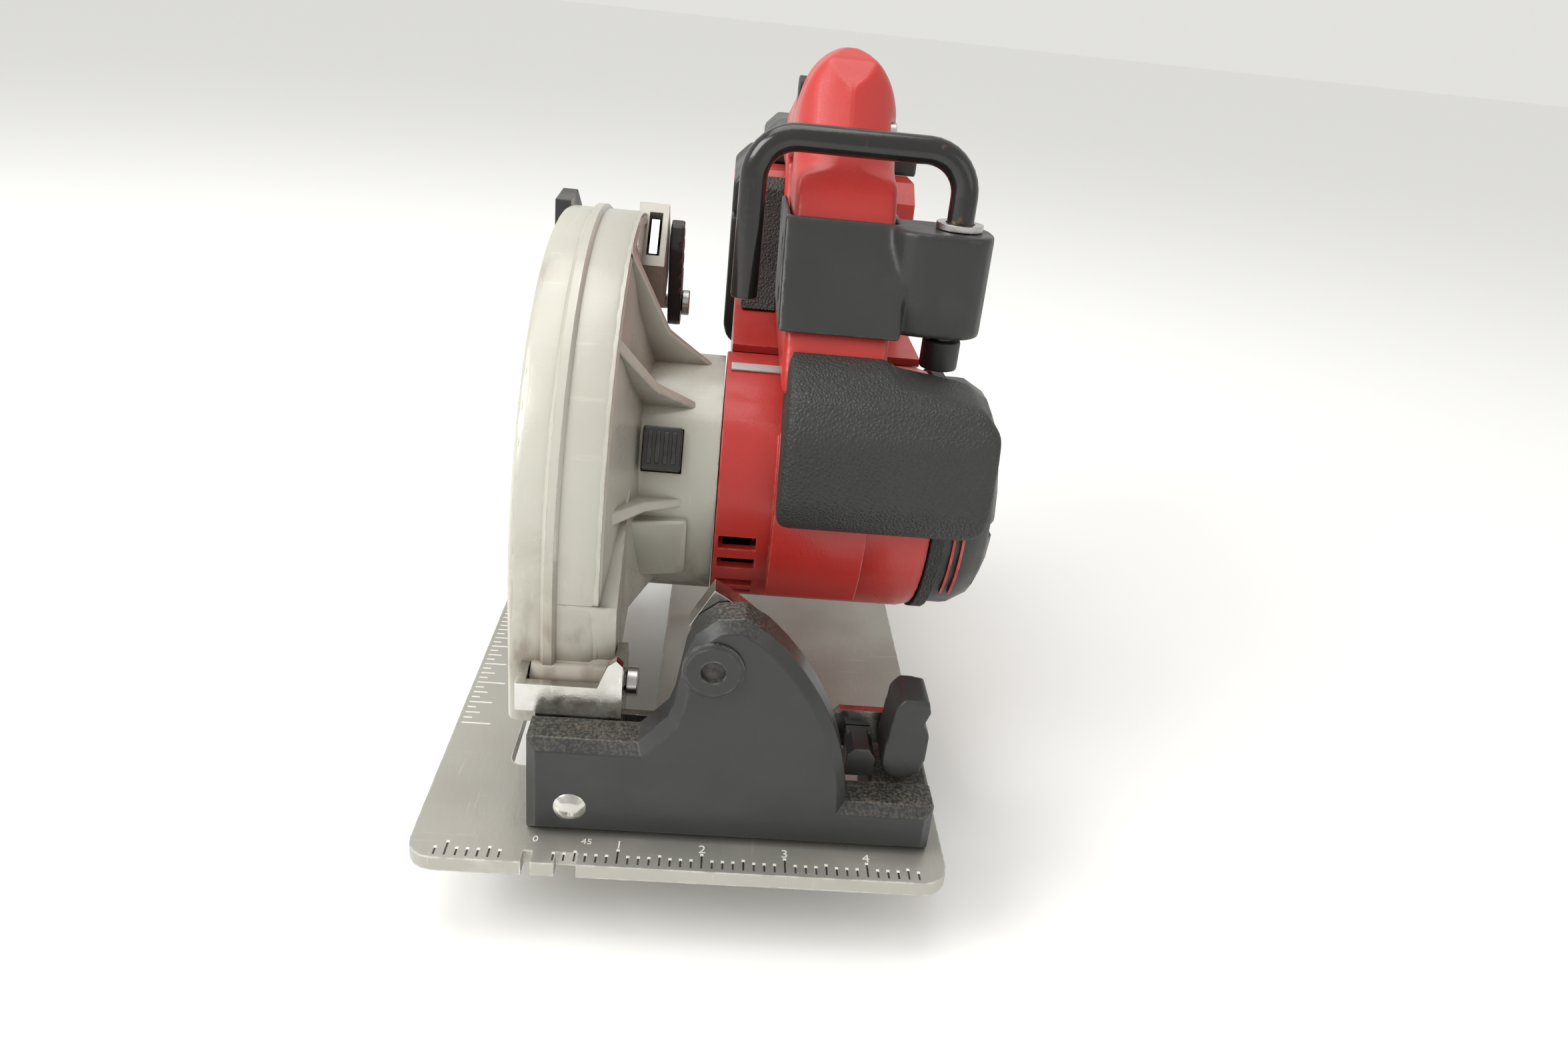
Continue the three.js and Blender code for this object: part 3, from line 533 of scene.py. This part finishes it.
def scale_left():
    """White marks every eighth of an inch over seven inches, longer on the quarters, halves and inches."""
    white = []
    start, half = SHOE_LEFT + 1.5, 0.35
    for i in range(0, 8 * 7):
        y = LEFT_SCALE_START + i * INCH / 8
        reach = 10 if i % 8 == 0 else 8 if i % 4 == 0 else 5 if i % 2 == 0 else 3
        white.append((start, start + reach, y - half, y + half, SOLE_TOP, SOLE_TOP + INK))
    return white


front_white, front_black = scale_front()
shape("scale_white", *blocks(front_white + scale_left()), WHITE_INK, "shoe", "magnesium")
shape("scale_black", *blocks(front_black), BLACK_INK_AND_SHADE, "shoe", "magnesium")


def numeral(name, text, x, y, size, turn=0.0):
    """A number of the scale, lying on the shoe."""
    curve = bpy.data.curves.new(name, "FONT")
    curve.body = text
    curve.size = size * MM
    curve.extrude = INK / 2 * MM
    curve.align_x = "CENTER"
    curve.align_y = "CENTER"
    obj = bpy.data.objects.new(name, curve)
    obj.location = at(x, y, SOLE_TOP + INK / 2)
    obj.rotation_euler = (0, 0, turn)
    curve.materials.append(WHITE_INK)
    bpy.context.scene.collection.objects.link(obj)
    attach(obj, "shoe")


for inch in range(1, 5):
    numeral(f"numeral_front_{inch}", str(inch), inch * INCH, 9.4, 4.8)
numeral("numeral_front_0", "0", 0.0, 10.2, 3.6)
numeral("numeral_front_45", "45", 15.5, 10.2, 3.4)
for inch in range(1, 7):
    numeral(f"numeral_left_{inch}", str(inch), SHOE_LEFT + 14, LEFT_SCALE_START + inch * INCH, 4.0, -pi / 2)


# Guard: raised rim over the seam, sloped flank, ribs on the gear-case neck

def along_guard(section):
    """Sweeps a section of (x, height above the guard's outline) round the guard's front edge and top."""
    path = [(-7.6, -14.0), (-2.7, -1.6), (2.4, 11.0), (7.3, 23.2)]
    path += [about(ARBOR_Y, ARBOR_Z, GUARD_RADIUS, a / 2) for a in range(305, -13, -4)]
    rings = []
    for (y, z), along in headings(path):
        out = Vector((-along.y, along.x))
        rings.append([(x, y + out.x * h, z + out.y * h) for x, h in section])
    return sweep(rings)


RIM = [(-3.6, 0.2), (-3.0, 1.2), (-2.2, 1.9), (0.4, 1.9), (1.2, 1.2), (1.7, 0.2)]
COVER_SKIN = [(-13.4, -4.0), (-13.6, -2.2), (-12.6, -0.4), (-10.8, 0.4), (-0.2, 0.4), (-0.2, -0.4)]
GUARD_SKIN = [(0.1, -0.4), (0.1, 0.4), (11.6, 0.4), (13.6, -0.4), (14.6, -2.2), (14.4, -4.0)]


def flank():
    """A shallow cone that climbs from the guard's rim towards the neck."""
    profile = [(98.5, 13.0), (97.5, 14.4), (93, 15.6), (84, 17.0), (72, 20.5), (60, 25.5), (50, 30), (44, 31)]
    rings = []
    for angle in range(80, 171, 5):
        outer = [(x, *about(ARBOR_Y, ARBOR_Z, r, angle)) for r, x in profile]
        rings.append(outer + [(12.5, *about(ARBOR_Y, ARBOR_Z, r, angle)) for r in (44, 98.5)])
    return sweep(rings)


def rib(angle, tall, long, half=1.5):
    """A triangular rib standing on the neck, from the guard's side to the motor."""
    rings = []
    for side in (-half, half):
        tilt = angle + side / NECK_RADIUS * 180 / pi
        corners = [
            (GUARD_RIGHT, NECK_RADIUS + tall),
            (GUARD_RIGHT, NECK_RADIUS - 1.5),
            (GUARD_RIGHT + long, NECK_RADIUS - 1.5),
            (GUARD_RIGHT + long * 0.45, NECK_RADIUS + tall * 0.28),
        ]
        rings.append([(x, *about(MOTOR_Y, MOTOR_Z, r, tilt)) for x, r in corners])
    return sweep(rings)


def neck_step():
    """The raised pad low on the neck's front."""
    inside = NECK_RADIUS - 2
    section = [
        (GUARD_RIGHT, inside),
        (36, inside),
        (38.5, NECK_RADIUS + 1),
        (37.5, NECK_RADIUS + 3),
        (GUARD_RIGHT, NECK_RADIUS + 6),
    ]
    rings = []
    for angle in range(158, 193, 5):
        rings.append([(x, *about(MOTOR_Y, MOTOR_Z, r, angle)) for x, r in section])
    return sweep(rings)


for name, section in (("guard_rim", RIM), ("cover_skin", COVER_SKIN), ("guard_skin", GUARD_SKIN)):
    shape(name, *along_guard(section), PAINT, "saw_head", "guard_paint", on_head)
shape("guard_flank", *flank(), PAINT, "saw_head", "guard_paint", on_head)
for number, (angle, tall, long) in enumerate([(74, 38, 30), (105, 30, 26), (151, 26, 24)]):
    shape(f"neck_rib_{number}", *rib(angle, tall, long), PAINT, "saw_head", "guard_paint", on_head, 0.7)
shape("neck_step", *neck_step(), PAINT, "saw_head", "guard_paint", on_head, 1.2)


def on_button(x, y, z):
    """A point in the spindle-lock button's own frame."""
    turned = Matrix.Rotation(BUTTON_TURN, 3, "X") @ Vector((x, y, z))
    return on_head(turned.x, turned.y + MOTOR_Y, turned.z + MOTOR_Z)


ribs = [(x - 0.7, x + 0.7, -5.2, 5.2, 45.6, 46.6) for x in (24.6, 27.2, 29.8, 32.4)]
shape("button_ribs", *blocks(ribs), PLASTIC, "spindle_button", "black_plastic", on_button, 0.3)


def label_film():
    """The blank label, a thin film round the top of the motor housing's left end."""
    rings = []
    for angle in (77, 79, 81, 83):
        near, far = (about(MOTOR_Y, MOTOR_Z, r, angle) for r in (43.6, 44.1))
        rings.append([(49, *near), (66, *near), (66, *far), (49, *far)])
    return sweep(rings)


shape("label_film", *label_film(), LABEL, "saw_head", "label_film", on_head, 0.0, ("rating_label",))


# Front bracket: chamfered body, shelf and the collar at the stop screw's hole


def inset(outline, by):
    """An outline of (u, v) points, anticlockwise, moved inwards at each corner."""
    moved = []
    for i, here in enumerate(outline):
        before = (Vector(here) - Vector(outline[i - 1])).normalized()
        after = (Vector(outline[(i + 1) % len(outline)]) - Vector(here)).normalized()
        inward = Vector((-before.y - after.y, before.x + after.x)).normalized()
        reach = by / max(0.5, inward.dot(Vector((-before.y, before.x))))
        moved.append(tuple(Vector(here) + inward * reach))
    return moved


BRACKET_FOOT = SOLE_TOP + 0.3
BRACKET_OUTLINE = [(-3.8, BRACKET_FOOT), (121.5, BRACKET_FOOT), (121.5, 22)]
BRACKET_OUTLINE += [about(BEVEL_X, BEVEL_Z, 84, a) for a in range(4, 51, 3)]
BRACKET_OUTLINE += [(58, 84), (50, 83), (44, 78), (41.5, 71)]
BRACKET_OUTLINE += [(39, 54), (37.5, 49), (29, 39.4), (-3.8, 39.4)]


def bracket_body():
    """The front bracket with chamfers round its face."""
    cut_back = [(25.8, BRACKET_OUTLINE), (15.4, BRACKET_OUTLINE), (12.0, inset(BRACKET_OUTLINE, 3.2))]
    return sweep([[(x, y, z) for x, z in outline] for y, outline in cut_back])


shape("bracket_body", *bracket_body(), BRACKET, "shoe", "black_bracket", at, 0.5, ("front_bracket",))
shelf = blocks([(102, 121.5, 25.0, 48, BRACKET_FOOT, 22)])
shape("bracket_shelf", *shelf, BRACKET, "shoe", "black_bracket", at, 1.5)


def stop_ring(angle, section):
    """A section of (radius, y) turned to an angle about the stop screw's axis."""
    spots = [(*about(STOP_X, STOP_Z, radius, angle), y) for radius, y in section]
    return [(x, y, z) for x, z, y in spots]


def stop_hole():
    """A dark disc on the bracket's face, painted shade in place of the stop screw's hole."""
    faces_at, radius = (11.8, 12.1), 3.5
    return sweep([[stop_ring(a, [(radius, y)])[0] for a in range(0, 360, 20)] for y in faces_at])


# painted shade: a flat black disc stands in for the dark inside the hole
shape("stop_hole", *stop_hole(), BLACK_INK_AND_SHADE, "shoe", "black_bracket", at)


def stop_collar():
    """The raised round collar about the stop screw's hole."""
    section = [(9.0, 12.2), (9.0, 11.2), (7.8, 10.4), (3.6, 10.4), (3.2, 12.2)]
    return sweep([stop_ring(angle, section) for angle in range(0, 360, 12)], closed=True)


shape("stop_collar", *stop_collar(), BRACKET, "shoe", "black_bracket", at)


# Grip pad, and the red lips on the motor's end cap

GRIP_PAD = [(169, 134), (181.5, 149), (185.5, 178), (191, 182)]  # its front, upwards
GRIP_PAD += [(190.6, 176), (186.6, 149), (173.6, 134.6)]  # its back, downwards
shape("grip_pad", *slab(GRIP_PAD, 51.5, 65), RUBBER, "saw_head", "black_rubber", at, 0.8)


def vent_lip(low, high):
    """A red lip round part of the end cap."""
    rings = []
    for angle in range(150, 196, 5):
        near, far = (about(MOTOR_Y, MOTOR_Z, r, angle) for r in (40.6, 42.2))
        rings.append([(low, *near), (high, *near), (high, *far), (low, *far)])
    return sweep(rings)


for number, low in enumerate((127.0, 130.0)):
    shape(f"vent_lip_{number}", *vent_lip(low, low + 0.9), RED_NYLON, "saw_head", "red_nylon", on_head)


# Handle: the two shells as one rounded moulding, domed along the top of the grip

GRIP_DOME = 24.0  # depth of the rounding on the grip's back
GRIP_LOW = 196.0  # below this the shells keep their flat sides


def grip_top(y):
    """Height of the handle's back at y, and of its front slope ahead of the nose."""
    if y > 141:
        return 231.6 - 0.181 * max(0, y - 152)
    return min(231.6, 205 + (y - 112) * 1.45)


def handle():
    """Joins both shells in an even mesh, narrows it towards the grip's back and rubs it smooth."""
    halves = [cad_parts[name] for name in ("handle_left", "handle_right")]
    merged = bmesh.new()
    for half in halves:
        merged.from_mesh(half.data)
    mesh = bpy.data.meshes.new("handle_shell")
    merged.to_mesh(mesh)
    merged.free()
    obj = bpy.data.objects.new("handle_shell", mesh)
    bpy.context.scene.collection.objects.link(obj)
    even_out(obj, 1.3)
    seen = obj.evaluated_get(bpy.context.evaluated_depsgraph_get())
    dense = bpy.data.meshes.new_from_object(seen)
    obj.modifiers.clear()
    obj.data = dense
    for vertex in dense.vertices:
        spot = vertex.co / MM - ORIGIN
        sunk = grip_top(spot.y) - spot.z
        if sunk < GRIP_DOME and spot.z > GRIP_LOW:
            height = min(1.0, 1 - max(0.0, sunk) / GRIP_DOME)
            narrow = max(0.05, (1 - height**2) ** 0.5)
            spot.x = GRIP_X + (spot.x - GRIP_X) * narrow
            vertex.co = (spot + ORIGIN) * MM
    rub_down(obj, 8)
    dense.materials.clear()
    dense.materials.append(RED_NYLON)
    dense.shade_smooth()
    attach(obj, "saw_head")
    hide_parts("handle_left", "handle_right")


handle()


def across_drum(y, z, low, high, radius, sides=28):
    """A round bar along X."""
    rings = [[(x, *about(y, z, radius, 360 * k / sides)) for k in range(sides)] for x in (low, high)]
    return sweep(rings)


lock_button = across_drum(LOCK_OFF_Y, LOCK_OFF_Z, low=65.2, high=71.0, radius=4.7)
shape("lock_button", *lock_button, PLASTIC, "lock_off", "black_plastic", at, 0.6, ("lock_off",))


# Hook rod: one bent round bar

ROD = 4.3
BEND = 13.0


def hook_rod():
    """A round bar up the shaft, across and down to the tip, in millimetres of the shared frame."""
    low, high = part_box("hook_rod")
    left, top = low.x / MM + ROD, high.z / MM - ROD
    shaft = HOOK_X + ORIGIN.x
    y = HOOK_Y + ORIGIN.y
    foot = low.z / MM
    path = [(shaft, foot), (shaft, top - BEND)]
    path += [about(shaft - BEND, top - BEND, BEND, a) for a in range(10, 90, 10)]
    path += [(shaft - BEND, top), (left + BEND, top)]
    path += [about(left + BEND, top - BEND, BEND, a) for a in range(100, 180, 10)]
    path += [(left, top - BEND), (left, HOOK_TIP_Z)]
    rings = []
    for (x, z), along in headings(path):
        side, back = Vector((along.y, 0, -along.x)), Vector((0, 1, 0))
        swings = [2 * pi * k / 28 for k in range(28)]
        around = [(side * cos(swing) + back * sin(swing)) * ROD for swing in swings]
        rings.append([tuple(Vector((x, y, z)) + offset) for offset in around])
    return sweep(rings)


def absolute(x, y, z):
    """A point of the shared frame, from millimetres to metres."""
    return Vector((x, y, z)) * MM


def drum(x, y, low, high, radius, sides=36):
    """A round bar along Z."""
    rings = [[(*about(x, y, radius, 360 * k / sides), z) for k in range(sides)] for z in (low, high)]
    return sweep(rings)


shape("hook_bar", *hook_rod(), ENAMEL, "hook", "enamel", absolute, 0.5, ("hook_rod",))
hook_foot = drum(HOOK_X, HOOK_Y, low=138.1, high=148, radius=6.3)
shape("hook_foot", *hook_foot, PLASTIC, "hook", "enamel", at, 0.8)
hook_tip = drum(HOOK_TIP_X, HOOK_Y, low=HOOK_TIP_Z - 0.1, high=HOOK_TIP_Z + 0.6, radius=4.0)
shape("hook_tip", *hook_tip, STEEL, "hook", "steel", at, 0.2)


# The studio: floor, lights and camera

FLOOR_DROP = 0.0004
paper = bpy.data.materials.new("studio_paper")
paper.use_nodes = True
paper.node_tree.nodes["Principled BSDF"].inputs["Base Color"].default_value = (0.94, 0.94, 0.925, 1)
paper.node_tree.nodes["Principled BSDF"].inputs["Roughness"].default_value = 0.75
bpy.ops.mesh.primitive_plane_add(size=80.0, location=(0, 0, CAD_LOW.z - FLOOR_DROP))
floor = bpy.context.object
floor.name = "studio_floor"
floor.data.materials.append(paper)

world = bpy.data.worlds.new("studio_white")
world.use_nodes = True
world.node_tree.nodes["Background"].inputs["Color"].default_value = (1.0, 0.995, 0.965, 1)
world.node_tree.nodes["Background"].inputs["Strength"].default_value = 0.76
bpy.context.scene.world = world


def softbox(name, place, size, watts):
    """A soft rectangular lamp that faces the saw."""
    light = bpy.data.lights.new(name, "AREA")
    light.shape = "RECTANGLE"
    light.size, light.size_y = size
    light.energy = watts
    lamp = bpy.data.objects.new(name, light)
    lamp.location = place
    aim = Vector((0, 0, 0.08)) - Vector(place)
    lamp.rotation_euler = aim.to_track_quat("-Z", "Y").to_euler()
    bpy.context.scene.collection.objects.link(lamp)


softbox("key_left", (-1.1, -0.5, 0.9), (0.8, 0.7), 13)
softbox("top", (-0.3, 0.1, 1.4), (1.0, 1.0), 8)
softbox("fill_right", (1.1, -0.9, 0.6), (0.8, 0.8), 1.5)

PITCH, YAW, ROLL = radians(24.7), radians(4.27), radians(6.1)
camera = bpy.data.cameras.new("photo_view")
camera.sensor_width = 36.0
camera.lens = 25.18
camera.clip_start = 0.01
viewer = bpy.data.objects.new("photo_view", camera)
bpy.context.scene.collection.objects.link(viewer)
ahead = Vector((sin(YAW) * cos(PITCH), cos(YAW) * cos(PITCH), -sin(PITCH)))
across = Vector((cos(YAW), -sin(YAW), 0))
upward = across.cross(ahead)
right = across * cos(ROLL) + upward * sin(ROLL)
above = upward * cos(ROLL) - across * sin(ROLL)
turn = Matrix((right, above, -ahead)).transposed().to_4x4()
viewer.matrix_world = Matrix.Translation((-0.0345, -0.384, 0.239)) @ turn
bpy.context.scene.camera = viewer
bpy.context.scene.view_settings.view_transform = "Standard"
